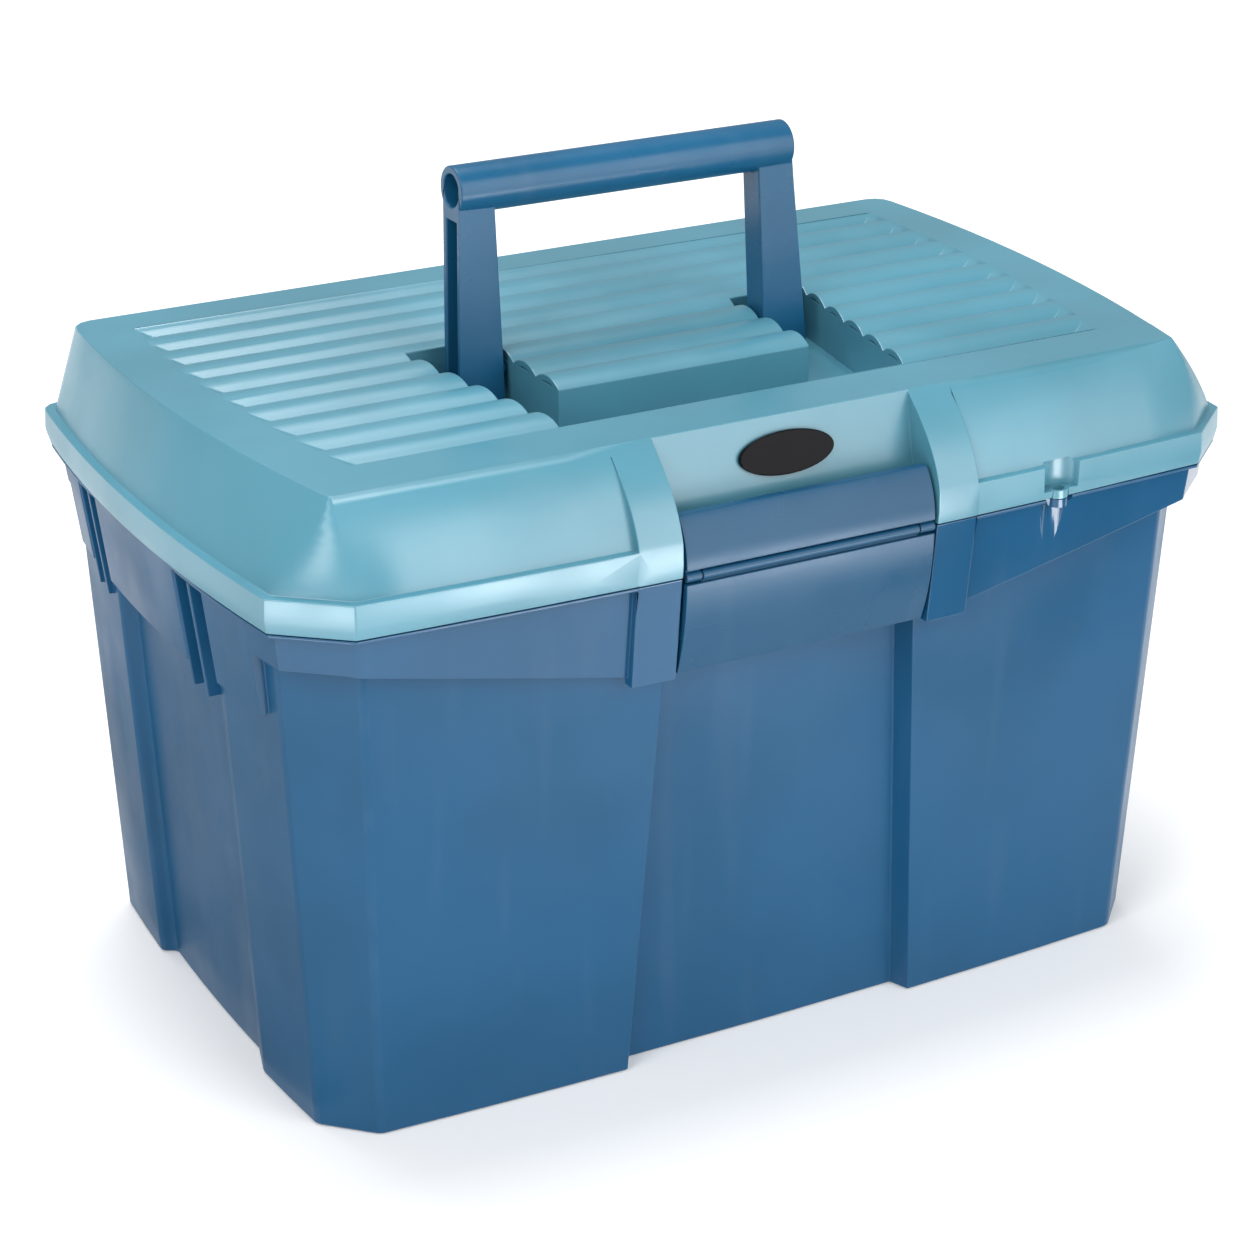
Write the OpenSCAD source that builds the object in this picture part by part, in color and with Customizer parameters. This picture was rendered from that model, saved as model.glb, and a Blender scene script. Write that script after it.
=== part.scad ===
// Horse grooming box: a drafted tub with a hinged domed lid, a fold-down carry handle,
// a two-leaf front latch and a lift-out tray. Millimetres, +Z up, front towards -Y.

/* [Rim and lid] */
// Widest width across the lid's rim
rim_w = 400; // [380:1:420]
// How far the rim's sides draw in at their ends
rim_side_bow = 6.5; // [3:0.5:9]
// Depth of the rim from its front corners to its rear
rim_d = 236; // [226:1:250]
// How far the rim's front bulges past its corners
rim_front_bow = 5; // [2:0.5:7]
// Width of each front corner chamfer of the rim
chamfer_w = 23.5; // [18:0.5:28]
// Depth of each front corner chamfer of the rim
chamfer_d = 20; // [16:0.5:24]
// Height of the parting line between tub and lid
part_z = 200; // [190:1:220]
// Height of the lid's rim band
rim_h = 12.4; // [10:0.2:15]
// How far the rim's underside draws in
rim_under = 3; // [1.5:0.1:3.5]
// Height of the sloped underside of the rim
rim_under_h = 4.8; // [3:0.2:6]
// Height of the dome above the rim band
dome_h = 30.8; // [28:0.2:36]
// Step from the rim band in to the dome
dome_step = 3.5; // [2:0.5:5]
// Depth of the rounded front shoulder of the dome
shoulder_d = 16.5; // [14:0.5:19]
// How far the dome's sides lean in at the front corners
lean_front = 21; // [18:0.5:21]
// How far the dome's sides lean in at the rear corners
lean_rear = 10; // [8:0.5:14]
// Wall thickness of the lid
lid_wall = 2.5; // [2:0.1:3]
// Gap between the closed lid and the tub
part_gap = 0.4; // [0.3:0.1:0.6]

/* [Lid ribs] */
// Distance from one rib to the next
rib_pitch = 17.7; // [16.5:0.1:18]
// Depth of the valleys between the ribs
rib_depth = 3; // [2:0.1:3.5]
// Valley in front of the foremost rib, ahead of the box's middle
rib_front = 69.2; // [66:0.2:71]
// Half length of the ribs at the front
rib_half_front = 147; // [140:1:150]
// Half length of the ribs behind the middle
rib_half_rear = 158; // [152:1:160]
// Length over which a rib's end runs out into the lid
rib_runout = 10; // [6:1:14]

/* [Handle] */
// Length of the grip
grip_l = 138; // [130:1:138]
// Diameter of the grip
grip_dia = 17.8; // [15:0.2:18]
// Diameter of the hollow in the grip
grip_bore = 12; // [8:0.5:13]
// Height of the grip's axis above the pivot pins
grip_rise = 67.2; // [64:0.2:68]
// How far the upright grip leans behind the pivot pins
grip_lean = 5.9; // [4:0.1:7]
// Depth of a leg, front to back
leg_d = 12.2; // [10:0.2:13]
// Distance between the inner faces of the legs
leg_gap = 109.7; // [108:0.1:112]
// How much wider each leg is at its foot than at the grip
leg_flare = 3.9; // [1:0.1:6]
// Thickness of a leg's web
leg_web = 3; // [2.4:0.1:3.5]
// Thickness of a leg's flanges
leg_flange = 2; // [1.6:0.1:2.6]
// Diameter of the pivot pins
pivot_dia = 5; // [4:0.1:5.5]
// Running clearance of every pin, on the radius
pin_clear = 0.05; // [0.03:0.01:0.09]

/* [Handle pocket] */
// Depth of the pocket below the lid's top
pocket_depth = 19.6; // [19.2:0.1:21]
// Half width of the pocket at its front
pocket_half_front = 70; // [69.8:0.1:72]
// Half width of the pocket at its rear
pocket_half_rear = 84.5; // [80:0.5:90]
// Distance of the pocket's rear wall behind the pivot pins
pocket_rear = 14.9; // [13:0.1:17]
// Distance of the pivot pins behind the box's middle
pivot_y = 9.1; // [8.5:0.1:11]
// Height of the pivot pins above the pocket's floor
pivot_rise = 12.4; // [12:0.1:13]
// Clearance between the ribbed island and each leg
island_clear = 2.7; // [2.2:0.1:3]

/* [Finger recess and latch] */
// Width of the opening for the latch
latch_w = 102.8; // [96:0.2:108]
// Gap between the latch and each side of its opening
latch_gap = 1.3; // [0.8:0.1:2]
// How far the finger recess cuts back at the parting line
recess_d = 14; // [12:0.5:15]
// Width of the raised band beside the latch, on the lid and on the tub
band_w = 17; // [12:0.2:20]
// How far the latch's face lies behind the front of the rim
leaf_in = 0.4; // [0.2:0.1:0.8]
// Height of the latch's upper leaf
flap_h = 18.4; // [15:0.2:19]
// How far the upper leaf curves in at its top edge
flap_curl = 6.4; // [3:0.2:7]
// Height of the latch's lower leaf
apron_h = 34.8; // [30:0.2:37]
// How far the lower leaf curves in at its bottom edge
apron_curl = 6.4; // [3:0.2:7]
// Thickness of the latch leaves
leaf_t = 3; // [2.5:0.1:3.5]
// Radius of the hinge bead between the leaves
bead_r = 1.8; // [1.6:0.1:2.2]
// Groove above and below the hinge bead
bead_groove = 0.7; // [0.6:0.1:1]
// Diameter of the latch's hinge pin
latch_pin_dia = 1.8; // [1.4:0.1:2]
// Length of each end knuckle of the upper leaf
knuckle_l = 6; // [5:0.5:9]
// Width of the oval badge
badge_w = 38; // [30:0.5:44]
// Height of the oval badge
badge_h = 15.4; // [13:0.2:18]
// Thickness of the badge
badge_t = 1.8; // [1.2:0.1:2.5]

/* [Tub] */
// Wall thickness of the tub
tub_wall = 2.5; // [2:0.1:3]
// Overhang of the rim past the top of the tub's front wall
over_front = 11.3; // [10:0.1:13]
// Overhang of the rim past the top of the tub's sides
over_side = 8.1; // [7:0.1:10]
// Overhang of the rim past the tub's rear wall
over_rear = 2; // [1.5:0.1:4]
// How far the front and side walls draw in at the base
tub_draft = 10; // [8:0.5:12]
// Corner chamfer of the tub at its top
tub_chamfer_top = 22; // [18:0.5:25]
// Corner chamfer of the tub at its base
tub_chamfer_base = 17.2; // [14:0.5:18]
// Bulge of the tub's front between its corners
tub_front_bow = 4.6; // [2:0.2:6]
// Bulge of the tub's sides between their ends
tub_side_bow = 4.5; // [2:0.5:6]
// Half width of the centre recess at the foot of the front wall
panel_half = 61; // [58:0.5:64]
// Half width of the centre recess at the top of the front wall
panel_half_top = 49; // [47:0.5:56]
// Depth of the centre recess in the front wall
panel_d = 8; // [5:0.5:9]
// Width of the bevel at each side of the centre recess
panel_bevel = 3; // [2.8:0.2:6]
// Depth of the recessed panel in each side
side_panel_d = 5.5; // [3:0.5:6.5]
// Front end of the side panel, ahead of the middle
side_panel_front = 38; // [32:1:44]
// Length of the slope into the side panel at its front
side_panel_slope = 16; // [10:1:20]
// Rear end of the side panel, behind the middle
side_panel_rear = 62; // [56:1:66]

/* [Skirt] */
// Setback of the skirt under the rim
skirt_in = 3.8; // [3.5:0.1:4.5]
// Height of the thin bead along the skirt's top edge
skirt_bead = 1.6; // [1.2:0.1:2.4]
// Thickness of the skirt
skirt_t = 2.2; // [1.8:0.1:2.6]
// Height of the skirt at the sides and beside the latch
skirt_h = 39; // [34:0.5:44]
// Height of the skirt at the front corners and the rear
skirt_h_corner = 15; // [12:0.5:18]
// How far the skirt draws in over its height
skirt_draw = 4.6; // [4:0.1:6]
// Setback of the tub's bands beside the latch, at their tops
wing_in = 0.9; // [0.6:0.1:1.4]
// How far the tub's bands draw in over their height
wing_draw = 4.4; // [3.5:0.1:5]
// Front end of the deep side skirts, ahead of the middle
skirt_front = 76; // [70:1:80]
// Rear end of the deep side skirts, behind the middle
skirt_rear = 102; // [96:1:106]
// Width of each pair of slots in the side skirts
slot_w = 24; // [18:0.5:28]
// Middle of the rear pair of slots, behind the middle
slot_rear = 72; // [66:1:76]
// Middle of the front pair of slots, ahead of the middle
slot_front = 32; // [26:1:40]
// Thickness of the fins beside the slots
fin_t = 2.2; // [1.8:0.1:3]
// How far the fins' edges lie behind the skirt's face
fin_back = 0.5; // [0.3:0.1:1]
// How far the fins hang below the side skirts
fin_drop = 10; // [6:0.5:14]

/* [Hinges and padlock eye] */
// Distance of each hinge from the middle
hinge_x = 110; // [80:1:130]
// Radius of the hinge barrels
hinge_r = 4.5; // [4:0.1:5.5]
// Diameter of the hinge pins
hinge_pin_dia = 4; // [3:0.1:5]
// Width of the lid's middle knuckle
knuckle_w = 16; // [12:0.5:24]
// Width of each tub lug
lug_w = 10; // [7:0.5:14]
// Side play between hinge knuckles
side_play = 0.4; // [0.3:0.1:0.8]
// Distance of the padlock eye to the right of the middle
eye_x = 105; // [95:1:120]
// Radius of the notch round the padlock eye
eye_notch_r = 8; // [7:0.2:9]
// Diameter of the padlock eye
eye_dia = 5; // [4:0.1:6]
// Thickness of each shelf that the padlock eye passes through
eye_shelf = 3; // [2.5:0.1:4]
// How much wider the tub's padlock eye is than the lid's, on the radius
eye_ease = 0.45; // [0.3:0.05:0.6]
// Width of the lip round the padlock eye
eye_lip_w = 1.2; // [1:0.1:1.6]

/* [Tray] */
// Clearance between the tray and the tub's walls
tray_clear = 4; // [3:0.5:6]
// Height of the lift-out tray
tray_h = 43; // [35:1:50]
// Depth of the tray's top below the parting line
tray_drop = 6; // [4:0.5:10]
// Wall thickness of the tray
tray_wall = 2; // [1.6:0.1:2.6]
// Depth of the tray's long front compartment
tray_front_d = 78; // [60:1:100]
// Width that each ledge gives the tray to rest on
ledge_w = 8; // [6:0.5:10]

/* [Hidden] */

$fn = 48;
// Steps along each half of a bowed front and along each bowed side
front_steps = 8;
side_steps = 12;
// Steps along the rounded shoulder and along each rib
shoulder_steps = 10;
rib_steps = 8;
// Far enough past a surface for a clean cut
cut = 1;
// Gap between pieces that move past or rest on each other
fit_gap = 0.3;
// How much a mitred corner moves along its wall for each millimetre of wall
mitre = 0.414;

rim_x = rim_w / 2 - rim_side_bow;
rim_y = rim_d / 2;
rim_a = [rim_x - chamfer_w, rim_y];
lid_top = part_z + rim_h + dome_h;
dome_z = part_z + rim_h;
chamfer_slope = chamfer_d / chamfer_w;
dome_a = [rim_a[0] - dome_step * mitre, rim_y - dome_step];
dome_side = rim_x - dome_step;
// How far the rim's front face leans back, and how far it draws in beside the latch at its foot
rim_lean = 0.3;
band_foot = 0.6;
// Bulge of the dome's front and of its sides at the top of the lid
top_front_bow = 1.6;
top_side_bow = 8;
// Radius of the rear corners, and how far the tub's sides draw in towards the rear
rear_round = 8;
rear_taper = 2;
// Least width of the dome's corner chamfer
chamfer_least = 0.4;

// Clear space between the hinge barrels and the rim behind and above them
hinge_gap = 0.8;
hinge_drop = 0.5;
// Height of the lid's hinge tabs above the parting line, and depth of their roots in the rim
hinge_tab_h = 7;
hinge_root = 3;
// Setback of the hinge tabs behind the front of their barrels
hinge_back = 0.4;
hinge_y = rim_y + hinge_r + hinge_gap;
hinge_z = part_z - hinge_r - hinge_drop;
rim_front_at_latch = front_reach(rim_a, rim_front_bow, latch_w / 2);
mid_y = (hinge_y + hinge_r - rim_front_at_latch) / 2;

floor_z = lid_top - pocket_depth;
pivot_z = floor_z + pivot_rise;
grip_y = pivot_y + grip_lean;
grip_z = pivot_z + grip_rise;
// The pocket's front wall stands just behind the foremost valley
pocket_behind = 0.7;
pocket_front = rib_front - pocket_behind;
island_half = leg_gap / 2 - island_clear;
island_front = rib_front - 2 * rib_pitch;
// Where the rib field is widest, behind the middle, and how far it stops short of the rim
rib_widest = 45;
rib_margin = 10;
// Wall of the bosses round the pivot pins, and their play beside the legs
boss_wall = 1.6;
boss_play = 0.4;
// Thickness of a leg's closed end under the grip, and clearance of its foot over the pocket's floor
leg_cap = 2;
foot_clear = 1;
// Thickness of a pivot pin's head
pin_head_t = 2;

leaf_y = -(rim_front_at_latch - leaf_in);
// Depth of the hinge bead's axis behind the latch's face
bead_in = 1.5;
bead_y = leaf_y + bead_in;
bead_z = part_z - part_gap;
// Thickness of the webs that join the hinge bead and the knuckles to their leaves
bead_web = leaf_t - bead_in;
leaf_half = latch_w / 2 - latch_gap;
flap_z = bead_z + bead_r + bead_groove;
apron_z = bead_z - bead_r - bead_groove;
crease_y = front_reach(dome_a, top_front_bow, latch_w / 2) - shoulder_d;
recess_y = rim_front_at_latch - recess_d;
recess_lean = (recess_y - crease_y) / (lid_top - part_z);

tub_top = part_z - part_gap;
tub_b = [rim_x - over_side, rim_y - over_front - tub_chamfer_top];
skirt_z = part_z - skirt_h;
tray_z = part_z - tray_drop - tray_h;
// Length of the step at the rear of each side panel, and of the skirt's step beside the latch
panel_step = 3;
skirt_step = 3;
// Height over which the skirt's bead rounds out, and height of the skirt left above its slots
bead_slope = 0.4;
slot_top = 4;
// Thickness of the tray's ledges, radius of its corners, and drop of its dividers below its rim
ledge_t = 3.7;
tray_round = 14;
divider_drop = 3;
// Place, width and reach into the tub of the snap tabs behind the latch's lower leaf
tab_x = 20;
tab_w = 14;
tab_reach = 4;
// Clearance of the tabs in their slots
tab_clear = 0.25;
// Flange along the foot of the latch's lower leaf: its distance from the leaf's ends, and its depth
foot_in = 5;
foot_d = 6;
// How far the latch's pin stops short of the leaf's ends
pin_short = 0.2;
// How far the badge sits below the middle of the panel above the latch
badge_drop = 0.8;
eye_reach = front_reach(rim_a, rim_front_bow, eye_x);
eye_y = -(eye_reach - eye_dia / 2);
eye_lip_r = eye_dia / 2 + eye_lip_w;
// How far the notch round the padlock eye is centred ahead of the rim
eye_ahead = 1.5;

function lerp(a, b, s) = a + (b - a) * s;

// How far a bowed front reaches forward at a distance x from the middle
function front_reach(corner, bow, x) = corner[1] + bow * (1 - pow(x / corner[0], 2));

// Right and left halves of a plan, in order round the part, from the right half alone
function both_halves(half) = concat(half,
    [for (i = [len(half) - 1 : -1 : 1]) [-half[i][0], half[i][1]]]);

// A quarter round at a rear corner that ends at the given corner point
function rear_corner(corner, r) = [for (i = [0 : 3])
    [corner[0] - r + r * cos(i * 30), corner[1] - r + r * sin(i * 30)]];

// Plan with a bowed front, chamfered front corners, bowed sides and round rear corners
function rim_plan(a, side, rear, front_bow, side_bow, r) = both_halves(concat(
    [for (i = [0 : front_steps]) let (x = a[0] * i / front_steps)
        [x, -front_reach(a, front_bow, x)]],
    [for (j = [0 : side_steps - 1]) let (u = j / side_steps,
        b = -(a[1] - (side[0] - a[0]) * chamfer_slope))
        [lerp(side[0], side[1], u) + side_bow * 4 * u * (1 - u), lerp(b, rear - r, u)]],
    rear_corner([side[1], rear], r)));

// Plan of the rim, drawn in by the same amount all round
function rim_ring(inset, z) = at_height(rim_plan(
    [rim_a[0] - inset * mitre, rim_y - inset], [rim_x - inset, rim_x - inset],
    rim_y - inset, rim_front_bow, rim_side_bow, rear_round), z);

// Share of its depth that the rounded shoulder has drawn in at a share u of its height
function shoulder(u) = u * (0.3 + 0.7 * u);

// Plan of the dome at a height above the rim, drawn in by a wall
function dome_ring(h, inset, z) =
    let (u = h / dome_h,
         draw = shoulder_d * shoulder(u),
         a = [dome_a[0] - inset * mitre, dome_a[1] - draw - inset])
    at_height(rim_plan(a,
        [max(dome_side - lean_front * u - inset, a[0] + chamfer_least), dome_side - lean_rear * u - inset],
        rim_y - dome_step - inset, lerp(rim_front_bow, top_front_bow, u),
        lerp(rim_side_bow, top_side_bow, u),
        rear_round), z);

function at_height(plan, z) = [for (p = plan) [p[0], p[1], z]];

// Half width of the tub's side at a depth y, between its front corner b and its rear
function tub_side(b, rear, y) =
    let (u = (y + b[1]) / (rear[1] + b[1]))
    lerp(b[0], rear[0], u) + tub_side_bow * 4 * u * (1 - u);

// Plan of the tub at a share s of its height, drawn in by a wall t
function tub_plan(s, t) =
    let (draw = tub_draft * (1 - s),
         c = lerp(tub_chamfer_base, tub_chamfer_top, s),
         b0 = tub_b[0] - draw,
         a = [b0 - c - t * mitre, rim_y - over_front - draw - t],
         b = [b0 - t, rim_y - over_front - draw - c - t * mitre],
         rear = [b0 - rear_taper - t, rim_y - over_rear - t],
         edge = lerp(panel_half, panel_half_top, s) + t,
         base = edge - panel_bevel,
         y = [-side_panel_front - t / 2, side_panel_slope - side_panel_front - t / 2,
              side_panel_rear + t, side_panel_rear + panel_step + t])
    both_halves(concat(
        [[0, panel_d - front_reach(a, tub_front_bow, 0)],
         [base, panel_d - front_reach(a, tub_front_bow, base)]],
        [for (i = [0 : front_steps]) let (x = lerp(edge, a[0], i / front_steps))
            [x, -front_reach(a, tub_front_bow, x)]],
        [for (i = [0 : 2]) let (v = lerp(-b[1], y[0], i / 2)) [tub_side(b, rear, v), v]],
        [for (i = [0 : 6]) let (v = lerp(y[1], y[2], i / 6))
            [tub_side(b, rear, v) - side_panel_d, v]],
        [for (i = [0 : 2]) let (v = lerp(y[3], rear[1] - rear_round, i / 2))
            [tub_side(b, rear, v), v]],
        [for (p = rear_corner(rear, rear_round)) if (p[0] < rear[0]) p]));

// Solid through a stack of rings with the same number of points
module loft(rings) {
    n = len(rings[0]);
    last = len(rings) - 1;
    polyhedron(points = [for (ring = rings) each ring],
        faces = concat([[for (i = [0 : n - 1]) i]], loft_sides(n, last),
            [[for (i = [n - 1 : -1 : 0]) last * n + i]]));
}

function loft_sides(n, last) = [for (k = [0 : last - 1], i = [0 : n - 1])
    [k * n + i, (k + 1) * n + i, (k + 1) * n + (i + 1) % n, k * n + (i + 1) % n]];

// Solid between two plans of the tub, with caps that fan out from a point well behind the recess
module tub_loft(s0, s1, t, z0, z1) {
    low = tub_plan(s0, t);
    n = len(low);
    hub = rim_y - over_rear - 2 * rear_round;
    polyhedron(points = concat(at_height(low, z0), at_height(tub_plan(s1, t), z1),
            [[0, hub, z0], [0, hub, z1]]),
        faces = concat([for (i = [0 : n - 1]) [i, (i + 1) % n, 2 * n]], loft_sides(n, 1),
            [for (i = [0 : n - 1]) [n + (i + 1) % n, n + i, 2 * n + 1]]));
}

// Outline in the plane of Y and Z, drawn out along X
module profile(x0, x1, points) {
    translate([x0, 0, 0]) rotate([90, 0, 90]) linear_extrude(x1 - x0) polygon(points);
}

// Round bar along X
module bar(x0, x1, y, z, r) {
    translate([x0, y, z]) rotate([0, 90, 0]) cylinder(r = r, h = x1 - x0);
}

// Everything at both sides of the middle
module mirrored() {
    children();
    mirror([1, 0, 0]) children();
}

// The part stands with its outermost faces centred on the origin
module placed() {
    translate([0, -mid_y, 0]) children();
}

module dome(inset, base_z) {
    loft(concat([dome_ring(0, inset, base_z)],
        [for (i = [0 : shoulder_steps]) let (h = dome_h * i / shoulder_steps)
            dome_ring(h, inset, dome_z + h - inset * h / dome_h)]));
}

// Scalloped line of the ribs, from the front crest to the rear crest, lowered by a drop
function rib_line(drop) =
    let (r = (pow(rib_pitch / 2, 2) + rib_depth * rib_depth) / (2 * rib_depth),
         half = asin(rib_pitch / 2 / r),
         count = floor((rim_y - rear_round + rib_front) / rib_pitch))
    [for (i = [0 : count], k = [0 : rib_steps - 1])
        let (t = lerp(-half, half, k / rib_steps),
             y = -rib_front + (i - 0.5) * rib_pitch + r * sin(t))
        if (y > -rib_front - rib_pitch / 2 && y < rib_line_end(count))
            [y, lid_top - r + r * cos(t) - drop]];

function rib_line_end(count) = -rib_front + (count - 0.5) * rib_pitch;

// Half length of the rib field at a depth y
function rib_half(y) =
    rib_half_rear - (rib_half_rear - rib_half_front)
        * pow((y - rib_widest) / (rib_front + rib_widest), 2);

// Valleys between the ribs, run out at both ends
module rib_valleys() {
    ys = [for (i = [0 : side_steps]) lerp(rib_margin - rim_y, rim_y - rib_margin, i / side_steps)];
    ring = function (grow, z) concat([for (y = ys) [rib_half(y) + grow, y, z]],
        [for (i = [side_steps : -1 : 0]) [-rib_half(ys[i]) - grow, ys[i], z]]);
    line = rib_line(0);
    intersection() {
        profile(-rim_x, rim_x, concat(line, [[line[len(line) - 1][0], lid_top + rib_depth],
            [line[0][0], lid_top + rib_depth]]));
        loft([ring(-rib_runout / rib_depth, lid_top - rib_depth - cut),
              ring(rib_runout * 2, lid_top + rib_depth * 2)]);
    }
}

// Plan of the handle pocket, grown by a wall; the island stays clear in its middle
module pocket_plan(grow) {
    rear = pivot_y + pocket_rear + grow;
    front = -pocket_front - grow;
    island = island_half - grow;
    polygon([[pocket_half_front + grow, front], [pocket_half_rear + grow, rear],
        [island, rear], [island, grow - island_front], [-island, grow - island_front],
        [-island, rear], [-pocket_half_rear - grow, rear], [-pocket_half_front - grow, front]]);
}

// Form that the raised bands follow: level with the rim, then back to the dome's crease
module band_form() {
    run = rim_front_at_latch - rim_lean - crease_y;
    loft(concat([rim_ring(band_foot, part_z), rim_ring(0, part_z + rim_under_h)],
        [for (i = [0 : shoulder_steps]) let (u = i / shoulder_steps)
            rim_ring(rim_lean + run * shoulder(u), dome_z + dome_h * u)]));
}

// Outer form of the lid without its pocket, ribs and recess
module lid_form() {
    loft([rim_ring(rim_under, part_z), rim_ring(0, part_z + rim_under_h), rim_ring(rim_lean, dome_z)]);
    dome(0, part_z + 2);
    intersection() {
        band_form();
        beside_latch(part_z - cut, lid_top + cut);
    }
}

// Space of the bands at both sides of the latch, between two heights
module beside_latch(z0, z1) {
    mirrored() translate([latch_w / 2 - cut, -rim_d, z0])
        cube([band_w + cut, rim_d - crease_y + rib_margin, z1 - z0]);
}

// Hollow under the lid, with the ribs' waves on its ceiling
module lid_hollow() {
    line = rib_line(lid_wall);
    intersection() {
        dome(lid_wall, part_z - cut);
        profile(-rim_x, rim_x, concat([[-rim_y * 2, part_z - 2 * cut]],
            [[-rim_y * 2, lid_top - lid_wall]], line,
            [[rim_y * 2, lid_top - lid_wall], [rim_y * 2, part_z - 2 * cut]]));
    }
}

// Space in front of the badge panel, where fingers reach behind the latch
module finger_recess(half, back) {
    profile(-half, half, [[-rim_d, part_z - cut], [back - recess_y - recess_lean * cut, part_z - cut],
        [back - crease_y, lid_top], [back - crease_y, lid_top + cut * 5], [-rim_d, lid_top + cut * 5]]);
}

module lid() {
    color("skyblue") placed() difference() {
        union() {
            difference() {
                lid_form();
                lid_hollow();
            }
            intersection() {
                lid_form();
                finger_recess(latch_w / 2 + lid_wall, lid_wall);
            }
            translate([0, 0, floor_z - lid_wall])
                linear_extrude(pocket_depth + lid_wall - rib_depth) pocket_plan(lid_wall);
            mirrored() bar(island_half - cut, leg_gap / 2 - boss_play, pivot_y, pivot_z,
                pivot_dia / 2 + boss_wall);
            mirrored() lid_knuckle();
            intersection() {
                lid_form();
                eye_column(eye_notch_r + lid_wall, part_z, dome_z + cut + lid_wall);
            }
            eye_bar(eye_lip_r, part_z, part_z + eye_shelf);
        }
        translate([0, 0, floor_z]) linear_extrude(pocket_depth + cut) pocket_plan(0);
        rib_valleys();
        finger_recess(latch_w / 2, 0);
        mirrored() bar(0, leg_gap / 2, pivot_y, pivot_z, pivot_dia / 2 + pin_clear);
        mirrored() bar(0, rim_x, hinge_y, hinge_z, hinge_pin_dia / 2 + pin_clear);
        eye_column(eye_notch_r, part_z + eye_shelf, dome_z + cut);
        eye_bar(eye_dia / 2, part_z - cut, part_z + eye_shelf + cut);
    }
}

// Middle knuckle of a hinge, on a tab behind the rim
module lid_knuckle() {
    x0 = hinge_x - knuckle_w / 2;
    bar(x0, x0 + knuckle_w, hinge_y, hinge_z, hinge_r);
    translate([x0, hinge_y - hinge_r + hinge_back, hinge_z])
        cube([knuckle_w, hinge_r * 2 - hinge_back, part_z + hinge_tab_h - hinge_z]);
    translate([x0, rim_y - hinge_root, part_z + cut])
        cube([knuckle_w, hinge_root * 2, hinge_tab_h - cut]);
}

// Outer lugs of a hinge, on the rear wall
module tub_lugs() {
    for (side = [-1, 1]) {
        near = knuckle_w / 2 + side_play;
        x0 = hinge_x + (side > 0 ? near : -near - lug_w);
        bar(x0, x0 + lug_w, hinge_y, hinge_z, hinge_r);
        translate([x0, rim_y - over_rear - tub_wall / 2, hinge_z - hinge_r])
            cube([lug_w, hinge_y - rim_y + over_rear + tub_wall / 2, hinge_r * 2]);
    }
}

// Setback of the skirt's face at a height
function skirt_inset(z) = skirt_in + skirt_draw * (part_z - z) / skirt_h;

// Outside of the skirt, with the thin bead along its top edge
module skirt_form() {
    bead = tub_top - skirt_bead;
    loft([rim_ring(skirt_inset(skirt_z), skirt_z), rim_ring(skirt_inset(bead), bead),
          rim_ring(rim_under, bead + bead_slope), rim_ring(rim_under, tub_top)]);
}

// Skirt that hangs from the tub's rim, with a band beside the latch, before its lower edge is cut
module skirt_ring() {
    difference() {
        union() {
            skirt_form();
            intersection() {
                loft([rim_ring(wing_in + wing_draw, skirt_z), rim_ring(wing_in, tub_top)]);
                beside_latch(skirt_z - cut, part_z);
            }
        }
        loft([rim_ring(skirt_in + skirt_draw + skirt_t, skirt_z - cut),
              rim_ring(skirt_in + skirt_t, tub_top - skirt_t)]);
    }
}

// What is cut from under the skirt along the front and the rear
module under_skirt() {
    corner = part_z - skirt_h_corner;
    wing = latch_w / 2 + band_w;
    far = rim_w;
    translate([0, -skirt_front, 0]) rotate([90, 0, 0]) linear_extrude(rim_d)
        polygon([[-far, corner], [-rim_a[0], corner], [-wing, skirt_z + skirt_step],
            [-wing, skirt_z - cut], [wing, skirt_z - cut], [wing, skirt_z + skirt_step],
            [rim_a[0], corner], [far, corner], [far, skirt_z - 2 * cut], [-far, skirt_z - 2 * cut]]);
    translate([-far, skirt_rear, skirt_z - cut]) cube([far * 2, rim_d, corner - skirt_z + cut]);
}

// Pairs of slots through the side skirts
module skirt_slots() {
    mirrored() for (y = [slot_rear, -slot_front])
        translate([tub_b[0] - tub_draft, y - slot_w / 2, skirt_z - cut])
            cube([rim_w, slot_w, skirt_h - slot_top]);
}

// Fins beside and between the slots, and the plates that close the ends of the side skirts
module skirt_fins() {
    low = skirt_z - fin_drop;
    intersection() {
        loft([rim_ring(skirt_inset(low) + fin_back, low), rim_ring(skirt_in + fin_back, tub_top)]);
        mirrored() {
            for (y = [slot_rear, -slot_front], at = [0, slot_w / 2])
                translate([rim_x - chamfer_w, y + at - fin_t / 2, low])
                    cube([rim_w, fin_t, part_z - low - cut]);
            for (y = [-skirt_front, skirt_rear - fin_t])
                translate([rim_x - chamfer_w, y, skirt_z]) cube([rim_w, fin_t, skirt_h - cut]);
        }
    }
}

// Upright round column at the padlock eye
module eye_column(r, z0, z1) {
    translate([eye_x, -eye_reach - eye_ahead, z0]) cylinder(r = r, h = z1 - z0);
}

// Upright round bar through the padlock eye's axis
module eye_bar(r, z0, z1) {
    translate([eye_x, eye_y, z0]) cylinder(r = r, h = z1 - z0);
}

// Snap tabs of the latch's lower leaf, or the slots for them when grown by a clearance
module apron_tabs(grow) {
    y0 = leaf_y + apron_curl / 4 + leaf_t / 2;
    y1 = -(rim_y - over_front - panel_d - tub_wall - tab_reach);
    z0 = apron_z - apron_h / 2;
    mirrored() translate([tab_x - grow, y0, z0 - grow])
        cube([tab_w + 2 * grow, y1 - y0 + grow, leaf_t + 2 * grow]);
}

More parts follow.
